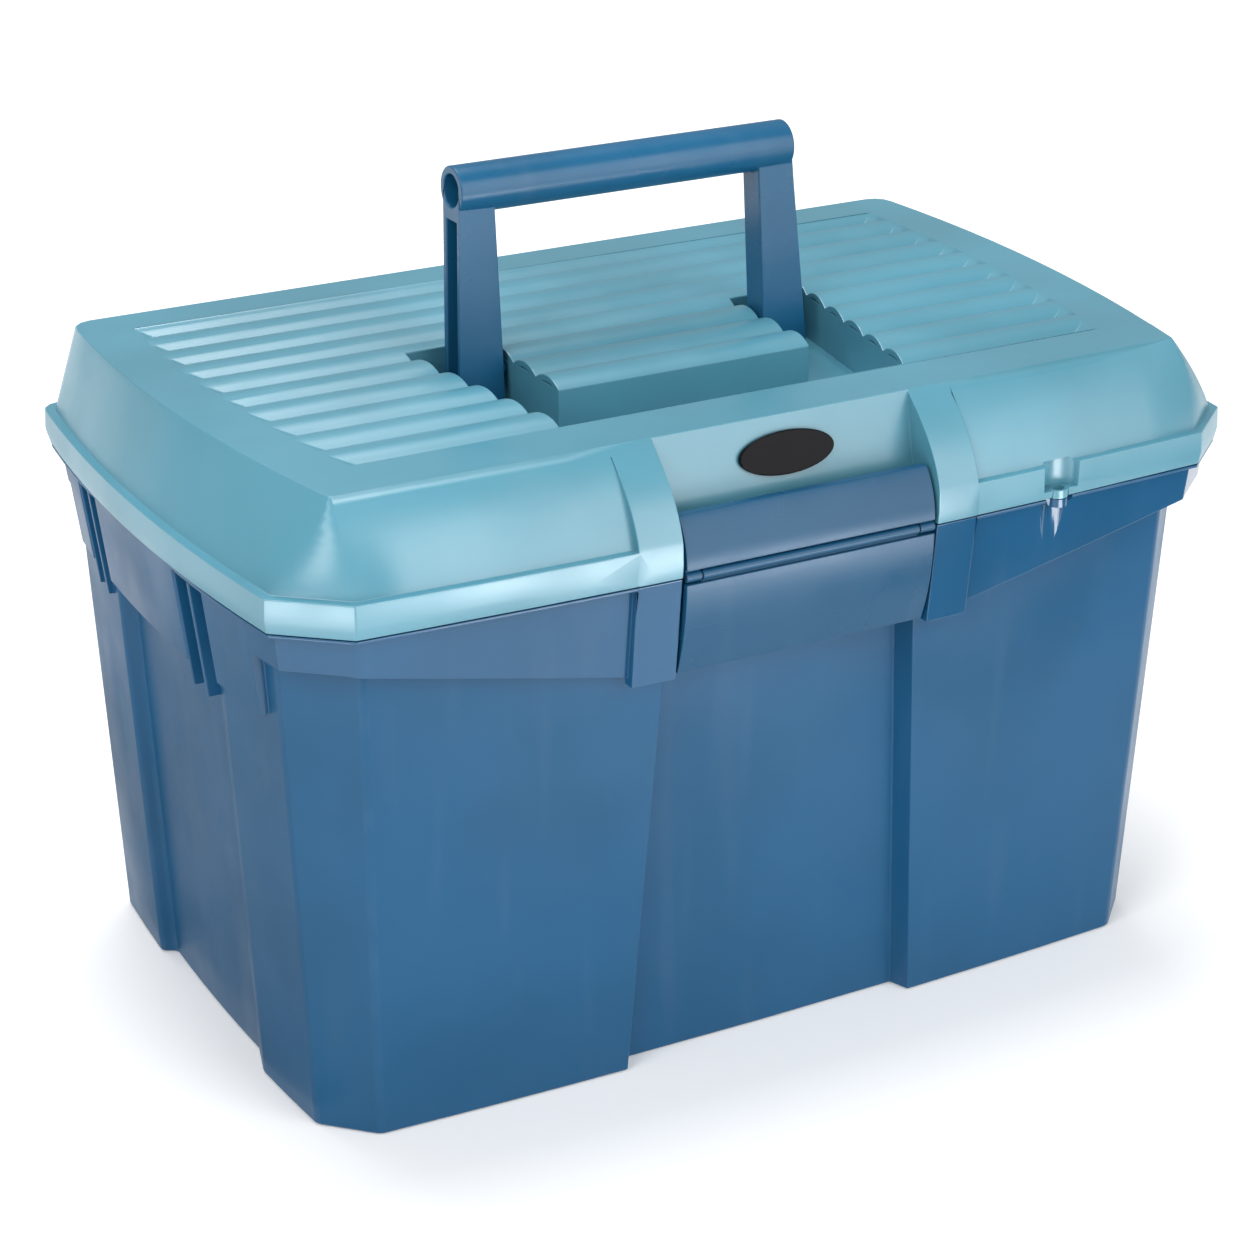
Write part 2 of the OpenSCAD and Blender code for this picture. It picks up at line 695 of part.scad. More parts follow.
module tub() {
    eye_r = eye_dia / 2 + eye_ease;
    color("steelblue") placed() difference() {
        union() {
            difference() {
                tub_loft(0, 1, 0, 0, tub_top);
                tub_loft(tub_wall / tub_top, 1, tub_wall, tub_wall, tub_top + cut);
            }
            difference() {
                union() {
                    difference() {
                        union() {
                            skirt_ring();
                            intersection() {
                                skirt_form();
                                eye_column(eye_notch_r + skirt_t, skirt_z, tub_top);
                            }
                        }
                        under_skirt();
                        skirt_slots();
                        eye_column(eye_notch_r, skirt_z - cut, tub_top - eye_shelf);
                    }
                    skirt_fins();
                }
                tub_loft(0.5, 1, tub_wall / 2, tub_top / 2, tub_top + cut);
                translate([-latch_w / 2, -rim_d, 0])
                    cube([latch_w, rim_d - recess_y - cut / 2, part_z]);
            }
            mirrored() tub_lugs();
            mirrored() tray_ledge();
            eye_bar(eye_lip_r, tub_top - eye_shelf, tub_top);
        }
        eye_bar(eye_r, tub_top - eye_shelf - cut, tub_top + cut);
        mirrored() bar(0, rim_x, hinge_y, hinge_z, hinge_pin_dia / 2 + pin_clear);
        apron_tabs(tab_clear);
    }
}

// Ledge inside a side wall that carries the tray
module tray_ledge() {
    intersection() {
        tub_loft(0, 1, tub_wall / 2, 0, tub_top);
        translate([tray_half() - ledge_w, -side_panel_front, tray_z - ledge_t - fit_gap])
            cube([rim_w, side_panel_front + side_panel_rear, ledge_t]);
    }
}

// Half width of the tray, clear of the narrowest place between the side panels
function tray_half() =
    tub_b[0] - tub_draft * (1 - tray_z / tub_top) - side_panel_d - tub_wall - tray_clear;

module carry_handle() {
    color("#2a6090") placed() difference() {
        union() {
            bar(-grip_l / 2, grip_l / 2, grip_y, grip_z, grip_dia / 2);
            mirrored() handle_leg();
        }
        bar(-grip_l, grip_l, grip_y, grip_z, grip_bore / 2);
        mirrored() bar(0, grip_l, pivot_y, pivot_z, pivot_dia / 2 + pin_clear);
    }
}

// Rectangle across a leg at a height, drawn in at its faces
function leg_ring(z, in_web, in_face, out) =
    let (u = (z - pivot_z) / grip_rise,
         y = lerp(pivot_y, grip_y, u),
         x0 = leg_gap / 2 + in_web,
         x1 = grip_l / 2 + leg_flare * (1 - u) + out,
         d = leg_d / 2 - in_face)
    [[x0, y - d, z], [x1, y - d, z], [x1, y + d, z], [x0, y + d, z]];

// One leg: a channel open to the outside, closed just below the grip
module handle_leg() {
    top = grip_z - grip_dia / 2 - leg_cap;
    foot = pivot_z - sqrt(pow(pivot_rise - foot_clear, 2) - leg_d * leg_d / 4);
    past = 5 * cut;
    difference() {
        loft([leg_ring(foot, 0, 0, 0), leg_ring(grip_z, 0, 0, 0)]);
        loft([leg_ring(foot - cut, leg_web, leg_flange, past), leg_ring(top, leg_web, leg_flange, past)]);
    }
}

// Pivot pin: a round head inside the leg's channel and a shank into the island
module pivot_pin() {
    x0 = leg_gap / 2 + leg_web + fit_gap;
    bar(island_half - lid_wall, x0 + cut, pivot_y, pivot_z, pivot_dia / 2);
    bar(x0, x0 + pin_head_t, pivot_y, pivot_z, leg_d / 2 - leg_flange - fit_gap);
}

module handle_pivot_pin_left() {
    color("#24567f") placed() mirror([1, 0, 0]) pivot_pin();
}

module handle_pivot_pin_right() {
    color("#24567f") placed() pivot_pin();
}

// Plain oval plate on the panel above the latch
module badge() {
    angle = atan(recess_lean);
    mid = (part_z + flap_h + lid_top) / 2 - badge_drop;
    y = -(crease_y + recess_lean * (lid_top - mid));
    color("black") placed() translate([0, y, mid]) rotate([90 - angle, 0, 0])
        linear_extrude(badge_t) polygon([for (i = [0 : $fn - 1]) let (a = 360 * i / $fn)
            [badge_w / 2 * cos(a), badge_h / 2 * sin(a)]]);
}

// Curved outline of a latch leaf from its hinge edge to its free edge, at one depth
function leaf_line(height, curl, depth, up) =
    let (r = (height * height + curl * curl) / (2 * curl))
    [for (i = [0 : shoulder_steps]) let (h = height * i / shoulder_steps)
        [leaf_y + depth + r - sqrt(r * r - h * h), up * h]];

function leaf_points(height, curl, z, up) =
    let (outer = leaf_line(height, curl, 0, up), inner = leaf_line(height, curl, leaf_t, up))
    [for (p = concat(outer, [for (i = [shoulder_steps : -1 : 0]) inner[i]])) [p[0], z + p[1]]];

module latch_flap() {
    knuckle_x = leaf_half - knuckle_l;
    color("#2a6090") placed() difference() {
        union() {
            profile(-leaf_half, leaf_half, leaf_points(flap_h, flap_curl, flap_z, 1));
            mirrored() {
                bar(knuckle_x, leaf_half, bead_y, bead_z, bead_r);
                translate([knuckle_x, bead_y, bead_z]) cube([knuckle_l, bead_web, flap_z - bead_z + 2]);
            }
        }
        bar(-latch_w, latch_w, bead_y, bead_z, latch_pin_dia / 2 + pin_clear);
    }
}

module latch_apron() {
    middle = leaf_half - knuckle_l - side_play;
    low = apron_z - apron_h;
    color("#2a6090") placed() difference() {
        union() {
            profile(-leaf_half, leaf_half, leaf_points(apron_h, apron_curl, apron_z, -1));
            bar(-middle, middle, bead_y, bead_z, bead_r);
            translate([-middle, bead_y, apron_z - 2])
                cube([middle * 2, bead_web, bead_z - apron_z + 2]);
            apron_tabs(0);
            translate([foot_in - leaf_half, leaf_y + apron_curl + leaf_t / 2, low])
                cube([2 * (leaf_half - foot_in), foot_d, leaf_t]);
        }
        bar(-latch_w, latch_w, bead_y, bead_z, latch_pin_dia / 2 + pin_clear);
    }
}

module latch_hinge_pin() {
    color("silver") placed()
        bar(pin_short - leaf_half, leaf_half - pin_short, bead_y, bead_z, latch_pin_dia / 2);
}

module hinge_pin() {
    half = knuckle_w / 2 + side_play + lug_w;
    bar(hinge_x - half, hinge_x + half, hinge_y, hinge_z, hinge_pin_dia / 2);
}

module hinge_pin_left() {
    color("silver") placed() mirror([1, 0, 0]) hinge_pin();
}

module hinge_pin_right() {
    color("silver") placed() hinge_pin();
}

// Rectangle with round corners, drawn in by a wall
module tray_plan(inset) {
    half = tray_half();
    front = -(rim_y - over_front - tub_draft * (1 - tray_z / tub_top) - panel_d - tub_wall - tray_clear);
    rear = rim_y - over_rear - tub_wall - tray_clear;
    r = tray_round - inset;
    polygon([for (corner = [[half, rear, 0], [-half, rear, 90], [-half, front, 180], [half, front, 270]],
        i = [0 : 6]) let (a = corner[2] + i * 15)
        [corner[0] - sign(corner[0]) * tray_round + r * cos(a),
         corner[1] - sign(corner[1]) * tray_round + r * sin(a)]]);
}

// One moulding with a long front compartment and three behind it
module lift_out_tray() {
    half = tray_half();
    split = tray_front_d - rim_y + over_front + panel_d;
    color("#3b78ad") placed() translate([0, 0, tray_z]) difference() {
        linear_extrude(tray_h) tray_plan(0);
        difference() {
            translate([0, 0, tray_wall]) linear_extrude(tray_h) tray_plan(tray_wall);
            translate([-half, split - tray_wall / 2, 0])
                cube([half * 2, tray_wall, tray_h - divider_drop]);
            for (x = [-half / 3, half / 3])
                translate([x - tray_wall / 2, split, 0]) cube([tray_wall, rim_d, tray_h - divider_drop]);
        }
    }
}

tub();
lid();
carry_handle();
handle_pivot_pin_left();
handle_pivot_pin_right();
badge();
latch_apron();
latch_flap();
latch_hinge_pin();
hinge_pin_left();
hinge_pin_right();
lift_out_tray();
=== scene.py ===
import math
import bmesh
import bpy
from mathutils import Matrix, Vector
from mathutils.bvhtree import BVHTree


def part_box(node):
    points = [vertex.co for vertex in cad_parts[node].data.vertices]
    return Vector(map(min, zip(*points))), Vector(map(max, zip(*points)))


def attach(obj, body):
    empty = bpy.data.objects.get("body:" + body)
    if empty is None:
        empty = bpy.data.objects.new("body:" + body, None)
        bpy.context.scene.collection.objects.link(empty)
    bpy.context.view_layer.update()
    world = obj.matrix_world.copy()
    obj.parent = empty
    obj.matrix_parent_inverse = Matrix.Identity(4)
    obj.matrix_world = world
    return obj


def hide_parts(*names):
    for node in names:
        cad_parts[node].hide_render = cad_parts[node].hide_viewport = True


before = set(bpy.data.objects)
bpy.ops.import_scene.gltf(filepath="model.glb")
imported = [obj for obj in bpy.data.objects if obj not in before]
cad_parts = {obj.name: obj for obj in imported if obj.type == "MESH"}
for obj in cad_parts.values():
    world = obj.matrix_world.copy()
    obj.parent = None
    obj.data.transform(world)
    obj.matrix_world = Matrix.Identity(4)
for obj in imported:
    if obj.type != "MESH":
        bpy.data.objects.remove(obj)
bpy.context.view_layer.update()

# The studio: a white seamless floor under a white surround, with soft boxes to the left, in front and
# overhead. The rim mirrors two low light panels, the front skirt a dark flag and the left wall a grey
# one, and these show nowhere else. The camera stands where the photograph was taken from.
studio = bpy.context.scene.collection
bpy.context.scene.view_settings.view_transform = "Standard"
camera_azimuth, camera_elevation = math.radians(-28.88), math.radians(23.32)
camera_distance = 1.2188
camera_aim = Vector((-0.0056, -0.0026, 0.1266))


def direction(azimuth, elevation):
    """Unit vector from the box towards a place in the studio; azimuth 0 is straight ahead of the latch."""
    level = math.cos(elevation)
    return Vector((math.sin(azimuth) * level, -math.cos(azimuth) * level, math.sin(elevation)))


camera_data = bpy.data.cameras.new("photo_camera")
camera_data.lens = 91.43
camera_data.sensor_width = 36.0
camera = bpy.data.objects.new("photo_camera", camera_data)
towards_camera = direction(camera_azimuth, camera_elevation)
camera.location = camera_aim + towards_camera * camera_distance
camera.rotation_euler = towards_camera.to_track_quat("Z", "Y").to_euler()
studio.objects.link(camera)
bpy.context.scene.camera = camera


def light_panel(name, place, aim, width, height, power):
    """Rectangular light panel at a place in the studio, facing a point."""
    data = bpy.data.lights.new(name, "AREA")
    data.shape = "RECTANGLE"
    data.size = width
    data.size_y = height
    data.energy = power
    lamp = bpy.data.objects.new(name, data)
    lamp.location = place
    lamp.rotation_euler = (place - aim).to_track_quat("Z", "Y").to_euler()
    studio.objects.link(lamp)
    return lamp


def soft_box(name, azimuth, elevation, distance, width, height, power):
    """Light panel that faces the middle of the grooming box from far off; its angles are in degrees."""
    facing = direction(math.radians(azimuth), math.radians(elevation))
    light_panel(name, camera_aim + facing * distance, camera_aim, width, height, power)


soft_box("left_soft_box", azimuth=-59, elevation=36, distance=2.0, width=0.9, height=1.5, power=18)
soft_box("front_soft_box", azimuth=22, elevation=22, distance=2.1, width=1.5, height=1.7, power=26)
soft_box("overhead_soft_box", azimuth=180, elevation=75, distance=2.0, width=1.2, height=1.2, power=33)
low_front = light_panel("low_front_panel", place=Vector((0.12, -0.47, 0.07)), aim=Vector((-0.1, -0.12, 0.2)),
                        width=0.3, height=0.1, power=1.1)
low_left = light_panel("low_left_panel", place=Vector((-0.46, -0.31, 0.09)), aim=Vector((-0.18, -0.1, 0.2)),
                       width=0.2, height=0.08, power=0.5)
low_front.visible_diffuse = low_left.visible_diffuse = False

surround = bpy.data.worlds.new("white_surround")
bpy.context.scene.world = surround
surround.use_nodes = True
surround.node_tree.nodes["Background"].inputs["Color"].default_value = (0.96, 0.98, 1.0, 1)
surround.node_tree.nodes["Background"].inputs["Strength"].default_value = 0.36


def sheet(name, low, high, height, tone, glow):
    """Flat matt sheet of the studio, lying level."""
    mesh = bpy.data.meshes.new(name)
    mesh.from_pydata([(low[0], low[1], height), (high[0], low[1], height), (high[0], high[1], height),
                      (low[0], high[1], height)], [], [(0, 1, 2, 3)])
    paper = bpy.data.materials.new(name + "_paper")
    paper.use_nodes = True
    shader = paper.node_tree.nodes["Principled BSDF"]
    shader.inputs["Base Color"].default_value = (tone, tone, tone, 1)
    shader.inputs["Roughness"].default_value = 0.8
    shader.inputs["Emission Color"].default_value = (1, 1, 1, 1)
    shader.inputs["Emission Strength"].default_value = glow
    mesh.materials.append(paper)
    lying = bpy.data.objects.new(name, mesh)
    studio.objects.link(lying)
    return lying


# The floor glows more away from the box, so that it stays white up to the horizon.
floor_reach = 40
glow_starts, glow_ends = 0.6, 2.0
glow_near, glow_far = 0.15, 0.75
floor = sheet("floor", (-floor_reach, -floor_reach), (floor_reach, floor_reach), height=-0.0003, tone=0.92,
              glow=glow_near)
floor_tree = floor.data.materials[0].node_tree
floor_place = floor_tree.nodes.new("ShaderNodeTexCoord")
floor_span = floor_tree.nodes.new("ShaderNodeVectorMath")
floor_span.operation = "LENGTH"
floor_tree.links.new(floor_place.outputs["Object"], floor_span.inputs[0])
floor_glow = floor_tree.nodes.new("ShaderNodeMapRange")
floor_glow.inputs["From Min"].default_value = glow_starts
floor_glow.inputs["From Max"].default_value = glow_ends
floor_glow.inputs["To Min"].default_value = glow_near
floor_glow.inputs["To Max"].default_value = glow_far
floor_tree.links.new(floor_span.outputs["Value"], floor_glow.inputs["Value"])
floor_shader = floor_tree.nodes["Principled BSDF"]
floor_tree.links.new(floor_glow.outputs["Result"], floor_shader.inputs["Emission Strength"])

flag_height = 0.003
front_flag = sheet("front_flag", (0.15, -0.66), (0.6, -0.28), flag_height, tone=0.03, glow=0)
left_flag = sheet("left_flag", (-0.42, -0.1), (-0.18, 0.32), flag_height, tone=0.45, glow=0)
for flag in (front_flag, left_flag):
    flag.visible_camera = flag.visible_shadow = flag.visible_diffuse = False


# The tub is one deep injection moulding in blue polypropylene: drafted walls, a recessed panel front
# and side, and a skirt under the rim. Its tall corners are rounded by the mould, its skirt edges less,
# and the mould is polished along the front skirt, which is glossier than the walls.
def polypropylene(name, colour, roughness, gloss, streaks, polished=False):
    """Semi-gloss moulded plastic: cloudy pigment, faint flow streaks, fine grain, and rounded corners made
    paler in patches by a painted highlight.
    A polished piece is smoother and shinier on the faces that its polish attribute marks."""
    # The first grey and share are for the painted highlight on the rounded corners, the second for the flow
    # streaks.
    highlight_grey, chalk_grey = (0.5, 0.6, 0.66), (0.32, 0.42, 0.5)
    highlight_share, chalk_share = 0.1, 0.25
    polished_roughness, polished_gloss = 0.14, 0.55
    material = bpy.data.materials.new(name)
    material.use_nodes = True
    tree = material.node_tree
    shader = tree.nodes["Principled BSDF"]
    place = tree.nodes.new("ShaderNodeTexCoord")

    def noise(scale, detail, stretch=None):
        texture = tree.nodes.new("ShaderNodeTexNoise")
        texture.inputs["Scale"].default_value = scale
        texture.inputs["Detail"].default_value = detail
        source = place.outputs["Object"]
        if stretch:
            mapping = tree.nodes.new("ShaderNodeMapping")
            mapping.inputs["Scale"].default_value = stretch
            tree.links.new(source, mapping.inputs["Vector"])
            source = mapping.outputs["Vector"]
        tree.links.new(source, texture.inputs["Vector"])
        return texture.outputs["Fac"]

    def spread(value, low, high, to_low, to_high):
        limits = tree.nodes.new("ShaderNodeMapRange")
        limits.interpolation_type = "SMOOTHSTEP"
        limits.inputs["From Min"].default_value = low
        limits.inputs["From Max"].default_value = high
        limits.inputs["To Min"].default_value = to_low
        limits.inputs["To Max"].default_value = to_high
        tree.links.new(value, limits.inputs["Value"])
        return limits.outputs["Result"]

    def blend(share, first, second):
        mix = tree.nodes.new("ShaderNodeMix")
        mix.data_type = "RGBA"
        tree.links.new(share, mix.inputs[0])
        for socket, value in ((mix.inputs[6], first), (mix.inputs[7], second)):
            if isinstance(value, tuple):
                socket.default_value = (*value, 1)
            else:
                tree.links.new(value, socket)
        return mix.outputs[2]

    deep = tuple(0.93 * c for c in colour)
    pale = tuple(min(1.0, 1.07 * c) for c in colour)
    # Painted highlight colour for the rounded corners.
    highlit = tuple((1 - highlight_share) * c + highlight_share * g for c, g in zip(colour, highlight_grey))
    chalk = tuple((1 - chalk_share) * c + chalk_share * g for c, g in zip(colour, chalk_grey))
    clouds = noise(scale=11, detail=3)
    pigment = blend(spread(clouds, 0.35, 0.65, 0, 1), deep, pale)
    flow = noise(scale=1, detail=1, stretch=(85, 85, 9))
    marked = blend(spread(flow, 0.55, 0.8, 0, streaks), pigment, chalk)
    # Painted highlight: the faces that the corner attribute marks are blended in patches towards that pale
    # grey.
    corner = tree.nodes.new("ShaderNodeAttribute")
    corner.attribute_name = "corner"
    highlight_patches = spread(noise(scale=60, detail=2), 0.45, 0.7, 0.05, 0.15)
    share = tree.nodes.new("ShaderNodeMath")
    share.operation = "MULTIPLY"
    tree.links.new(corner.outputs["Fac"], share.inputs[0])
    tree.links.new(highlight_patches, share.inputs[1])
    tree.links.new(blend(share.outputs["Value"], marked, highlit), shader.inputs["Base Color"])
    dullness = spread(noise(scale=26, detail=4), 0.3, 0.7, roughness - 0.05, roughness + 0.06)
    shader.inputs["Specular IOR Level"].default_value = gloss
    if polished:
        polish = tree.nodes.new("ShaderNodeAttribute")
        polish.attribute_name = "polish"
        smoother = tree.nodes.new("ShaderNodeMix")
        tree.links.new(polish.outputs["Fac"], smoother.inputs[0])
        tree.links.new(dullness, smoother.inputs[2])
        smoother.inputs[3].default_value = polished_roughness
        dullness = smoother.outputs[0]
        shine = spread(polish.outputs["Fac"], 0, 1, gloss, polished_gloss)
        tree.links.new(shine, shader.inputs["Specular IOR Level"])
    tree.links.new(dullness, shader.inputs["Roughness"])
    grain = tree.nodes.new("ShaderNodeBump")
    grain.inputs["Strength"].default_value = 0.015
    grain.inputs["Distance"].default_value = 0.0002
    tree.links.new(noise(scale=700, detail=2), grain.inputs["Height"])
    tree.links.new(grain.outputs["Normal"], shader.inputs["Normal"])
    shader.inputs["IOR"].default_value = 1.5
    return material


crisp_turn, shaded_turn = math.radians(28), math.radians(30)


def angle_of(edge):
    """How far the surface turns at an edge."""
    return edge.calc_face_angle(0)


def crisp(edge):
    """Any corner that the mould leaves only slightly rounded."""
    return angle_of(edge) > crisp_turn


def no_corner(edge):
    return False


def draw_out(bm, taken, reach):
    """Moves the faces that are taken straight outwards; reach gives the distance at a height."""
    moves = []
    for vert in bm.verts:
        sides = [face.normal.xy.normalized() for face in vert.link_faces if taken(face)]
        if sides:
            mean = sum(sides, Vector((0, 0))) / len(sides)
            moves.append((vert, mean / mean.length_squared * reach(vert.co.z)))
    for vert, move in moves:
        vert.co.xy += move
    bm.normal_update()


def moulding(node, rounds, soft=no_corner, reshape=None):
    """Copy of a node with its corners rounded; each round is a radius, a number of steps and the corners
    that it takes. Soft corners keep their place and are only shaded smoothly."""
    weld, flat_turn, sliver = 2e-5, math.radians(0.4), 1e-6
    bm = bmesh.new()
    bm.from_mesh(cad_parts[node].data)
    bmesh.ops.remove_doubles(bm, verts=bm.verts, dist=weld)
    bmesh.ops.dissolve_limit(bm, angle_limit=flat_turn, verts=bm.verts, edges=bm.edges)
    if reshape:
        reshape(bm)
    surface = BVHTree.FromBMesh(bm)
    corner = bm.faces.layers.float.new("corner")
    for radius, steps, taken in rounds:
        edges = [e for e in bm.edges if len(e.link_faces) == 2 and taken(e) and not soft(e)]
        chosen = set(edges)
        room = 1.3 * radius
        tight = {v for e in bm.edges if e not in chosen and e.calc_length() < room for v in e.verts}
        edges = [e for e in edges if not tight.intersection(e.verts)]
        made = bmesh.ops.bevel(bm, geom=edges, offset=radius, offset_type="OFFSET", segments=steps,
                               profile=0.5, affect="EDGES", clamp_overlap=False, harden_normals=False)
        # These faces carry the corner attribute, which the plastic uses for its painted highlight.
        for face in made["faces"]:
            face[corner] = 1.0
    # A point that the rounding threw off goes back to the surface, and none leaves the node's box.
    low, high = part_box(node)
    furthest = max(radius for radius, steps, taken in rounds) / 2
    for vert in bm.verts:
        spot, _, _, away = surface.find_nearest(vert.co)
        kept = vert.co if away < furthest else spot
        vert.co = [min(max(c, a), b) for c, a, b in zip(kept, low, high)]
    bmesh.ops.dissolve_degenerate(bm, dist=sliver, edges=bm.edges)
    bm.normal_update()
    for face in bm.faces:
        face.smooth = True
    for edge in bm.edges:
        edge.smooth = angle_of(edge) < shaded_turn or soft(edge)
    mesh = bpy.data.meshes.new(node + "_moulding")
    bm.to_mesh(mesh)
    bm.free()
    piece = bpy.data.objects.new(node + "_moulding", mesh)
    studio.objects.link(piece)
    weigh = piece.modifiers.new("weigh", "WEIGHTED_NORMAL")
    weigh.keep_sharp = True
    split = piece.modifiers.new("split", "TRIANGULATE")
    split.quad_method = "SHORTEST_DIAGONAL"
    split.ngon_method = "CLIP"
    split.keep_custom_normals = True
    seen = piece.evaluated_get(bpy.context.evaluated_depsgraph_get())
    piece.data = bpy.data.meshes.new_from_object(seen)
    piece.modifiers.clear()
    return piece


def fit(piece, body, node, material):
    """Gives a piece its finish and puts it in the place of its node."""
    piece.data.materials.clear()
    piece.data.materials.append(material)
    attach(piece, body)
    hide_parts(node)


tub_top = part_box("tub")[1].z
bead_height, bead_flush = 0.00125, 0.002
skirt_low = tub_top - 0.045
eye_x, eye_half_width, eye_low, eye_high = 0.105, 0.0105, tub_top - 0.008, tub_top + 0.0165
eye_back = -0.1
tall_run, tall_turn = 0.08, math.radians(18)
foot_height = 0.0002


def tall_corner(edge):
    """The upright corners of the tub's walls and panels."""
    run = edge.verts[1].co - edge.verts[0].co
    return run.length > tall_run and abs(run.z) > 0.9 * run.length and angle_of(edge) > tall_turn


def foot_corner(edge):
    """The corners round the tub's foot."""
    return max(v.co.z for v in edge.verts) < foot_height and crisp(edge)


def open_corner(edge):
    """Crisp corners away from the padlock eye, whose small ring and notch stay as moulded."""
    middle = (edge.verts[0].co + edge.verts[1].co) / 2
    at_eye = abs(middle.x - eye_x) < eye_half_width and middle.y < eye_back and eye_low < middle.z < eye_high
    return crisp(edge) and not at_eye


def flush_bead(bm):
    """Brings the bead along the skirt's top out to the lid's rim, as it lies in the photograph."""
    bead_low = tub_top - bead_height
    draw_out(bm, lambda face: abs(face.normal.z) < 0.25 and min(v.co.z for v in face.verts) > bead_low,
             lambda z: bead_flush)


tub_blue = polypropylene("tub_blue", (0.0082, 0.079, 0.178), roughness=0.36, gloss=0.24, streaks=0.1,
                         polished=True)
tub = moulding("tub", [(0.0018, 4, tall_corner), (0.001, 2, foot_corner), (0.00045, 2, open_corner)],
               reshape=flush_bead)
polish = tub.data.attributes.new("polish", "FLOAT", "FACE")
for spot, face in zip(polish.data, tub.data.polygons):
    spot.value = face.normal.y < -0.5 and min(tub.data.vertices[i].co.z for i in face.vertices) > skirt_low
fit(tub, "tub", "tub", tub_blue)


# The lid is one moulding in turquoise polypropylene, with the ribbed top, the handle's pocket and the
# finger recess in it. Its shoulder is softly rounded and its rim carries a small edge round.
lid_turquoise = polypropylene("lid_turquoise", (0.07, 0.246, 0.328), roughness=0.33, gloss=0.9, streaks=0.05)
lid_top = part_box("lid")[1].z
rim_top = lid_top - 0.0308
parting = tub_top + 0.0004
slope_top = parting + 0.0048
rim_flush = 0.0022
shoulder_turn, dome_turn = math.radians(55), math.radians(12)
height_slack, shortest_crease, dome_middle = 0.0004, 0.002, 0.12


def soft_shoulder(edge):
    """The crease along the dome's top and its slanting corners, which the mould rounds gently."""
    if len(edge.link_faces) != 2 or angle_of(edge) > shoulder_turn or edge.calc_length() < shortest_crease:
        return False
    tilts = sorted(f.normal.z for f in edge.link_faces)
    crease = min(v.co.z for v in edge.verts) > lid_top - height_slack and tilts[1] > 0.97 and tilts[0] > 0.2
    return crease or dome_corner(edge)


def dome_corner(edge):
    """The slanting corners between the dome's front, its chamfers and its sides."""
    if min(v.co.z for v in edge.verts) < rim_top - height_slack or abs(edge.verts[0].co.x) < dome_middle:
        return False
    tilts = sorted(f.normal.z for f in edge.link_faces)
    return tilts[0] > 0.03 and tilts[1] < 0.9 and dome_turn < angle_of(edge) < shoulder_turn


def flush_rim(bm):
    """Brings the rim's underside out, so its face runs straight down to the parting line."""
    def underside(face):
        return -0.65 < face.normal.z < -0.4 and parting < face.calc_center_median().z < slope_top

    draw_out(bm, underside, lambda z: rim_flush * (slope_top - z) / (slope_top - parting))


lid = moulding("lid", [(0.0005, 2, open_corner)], soft=soft_shoulder, reshape=flush_rim)
fit(lid, "lid", "lid", lid_turquoise)


# The carry handle is one blue moulding: a hollow round grip between two outward-open channel legs.
# Each leg turns on a moulded pin with a flat head that is pressed into the lid's island.
handle_blue = polypropylene("handle_blue", (0.008, 0.093, 0.195), roughness=0.3, gloss=0.4, streaks=0.1)
handle = moulding("carry_handle", [(0.0006, 3, crisp)])
fit(handle, "handle", "carry_handle", handle_blue)
for side in ("left", "right"):
    pin = moulding("handle_pivot_pin_" + side, [(0.0003, 2, crisp)])
    fit(pin, "lid", "handle_pivot_pin_" + side, handle_blue)


# The latch is two curved blue leaves on a thin bead: the lower one snaps onto the tub, the upper one
# swings forward off the lid. A steel wire through the bead is their hinge.
flap_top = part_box("latch_flap")[1].z
tip_height, tip_shortest, tip_longest = 0.003, 0.001, 0.006


def flap_tip(edge):
    """The two upper corners of the upper leaf."""
    run = edge.verts[1].co - edge.verts[0].co
    high = min(v.co.z for v in edge.verts) > flap_top - tip_height
    across = abs(run.x) < 1e-5 and abs(run.y) > 0.6 * run.length
    return high and across and tip_shortest < run.length < tip_longest


latch_blue = polypropylene("latch_blue", (0.0075, 0.068, 0.145), roughness=0.3, gloss=0.3, streaks=0.1)
apron = moulding("latch_apron", [(0.0004, 2, crisp)])
fit(apron, "tub", "latch_apron", latch_blue)
flap = moulding("latch_flap", [(0.0035, 5, flap_tip), (0.0004, 2, crisp)])
fit(flap, "latch", "latch_flap", latch_blue)


def drawn_steel(name, tint, roughness):
    """Drawn steel wire with fine lengthwise scratches."""
    material = bpy.data.materials.new(name)
    material.use_nodes = True
    tree = material.node_tree
    shader = tree.nodes["Principled BSDF"]
    place = tree.nodes.new("ShaderNodeTexCoord")
    mapping = tree.nodes.new("ShaderNodeMapping")
    mapping.inputs["Scale"].default_value = (40, 2500, 2500)
    scratch = tree.nodes.new("ShaderNodeTexNoise")
    scratch.inputs["Scale"].default_value = 1
    scratch.inputs["Detail"].default_value = 3
    tree.links.new(place.outputs["Object"], mapping.inputs["Vector"])
    tree.links.new(mapping.outputs["Vector"], scratch.inputs["Vector"])
    tone = tree.nodes.new("ShaderNodeMix")
    tone.data_type = "RGBA"
    tone.inputs[6].default_value = (*(0.8 * c for c in tint), 1)
    tone.inputs[7].default_value = (*tint, 1)
    tree.links.new(scratch.outputs["Fac"], tone.inputs[0])
    tree.links.new(tone.outputs[2], shader.inputs["Base Color"])
    dull = tree.nodes.new("ShaderNodeMapRange")
    dull.inputs["To Min"].default_value = roughness - 0.06
    dull.inputs["To Max"].default_value = roughness + 0.1
    tree.links.new(scratch.outputs["Fac"], dull.inputs["Value"])
    tree.links.new(dull.outputs["Result"], shader.inputs["Roughness"])
    shader.inputs["Metallic"].default_value = 1.0
    return material


wire_steel = drawn_steel("wire_steel", (0.62, 0.63, 0.65), roughness=0.3)
wire = moulding("latch_hinge_pin", [(0.0002, 2, crisp)])
fit(wire, "tub", "latch_hinge_pin", wire_steel)


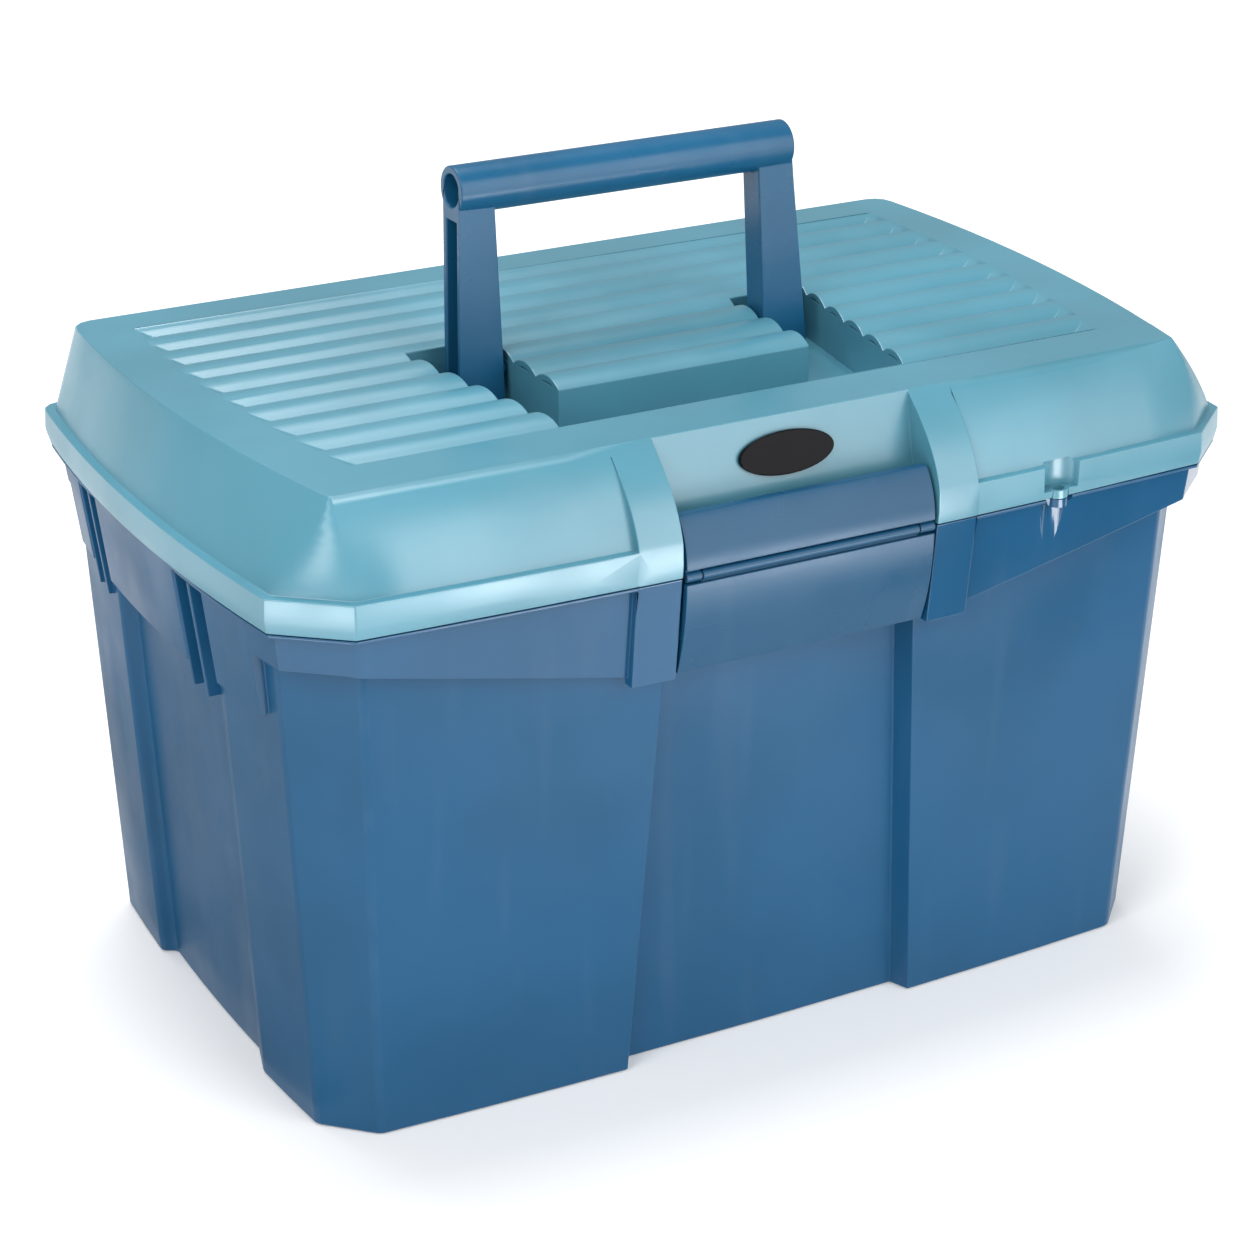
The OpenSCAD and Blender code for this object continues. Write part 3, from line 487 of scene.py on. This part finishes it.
# Two drawn steel pins at the rear join the lid's knuckles to the tub's lugs. They are pushed in from
# the side, and the lid turns on them.
for side in ("left", "right"):
    pin = moulding("hinge_pin_" + side, [(0.0004, 2, crisp)])
    fit(pin, "tub", "hinge_pin_" + side, wire_steel)


# The badge is a plain black oval of glossy acrylic, cut from sheet and stuck on the panel above the
# latch. Handling has left a faint haze on it.
badge_black = bpy.data.materials.new("badge_black")
badge_black.use_nodes = True
badge_tree = badge_black.node_tree
badge_shader = badge_tree.nodes["Principled BSDF"]
badge_place = badge_tree.nodes.new("ShaderNodeTexCoord")
badge_haze = badge_tree.nodes.new("ShaderNodeTexNoise")
badge_haze.inputs["Scale"].default_value = 130
badge_haze.inputs["Detail"].default_value = 4
badge_tree.links.new(badge_place.outputs["Object"], badge_haze.inputs["Vector"])
badge_tone = badge_tree.nodes.new("ShaderNodeMix")
badge_tone.data_type = "RGBA"
badge_tone.inputs[6].default_value = (0.002, 0.002, 0.003, 1)
badge_tone.inputs[7].default_value = (0.006, 0.006, 0.008, 1)
badge_tree.links.new(badge_haze.outputs["Fac"], badge_tone.inputs[0])
badge_tree.links.new(badge_tone.outputs[2], badge_shader.inputs["Base Color"])
badge_dull = badge_tree.nodes.new("ShaderNodeMapRange")
badge_dull.inputs["To Min"].default_value = 0.08
badge_dull.inputs["To Max"].default_value = 0.2
badge_tree.links.new(badge_haze.outputs["Fac"], badge_dull.inputs["Value"])
badge_tree.links.new(badge_dull.outputs["Result"], badge_shader.inputs["Roughness"])
badge_shader.inputs["IOR"].default_value = 1.17
badge = moulding("badge", [(0.0005, 3, crisp)])
fit(badge, "lid", "badge", badge_black)


# The lift-out tray is one thin polypropylene moulding with four compartments. It rests loose on ledges
# inside the tub, and lifts out by hand.
tray_blue = polypropylene("tray_blue", (0.011, 0.12, 0.25), roughness=0.34, gloss=0.5, streaks=0.12)
tray = moulding("lift_out_tray", [(0.0005, 2, crisp)])
fit(tray, "tray", "lift_out_tray", tray_blue)
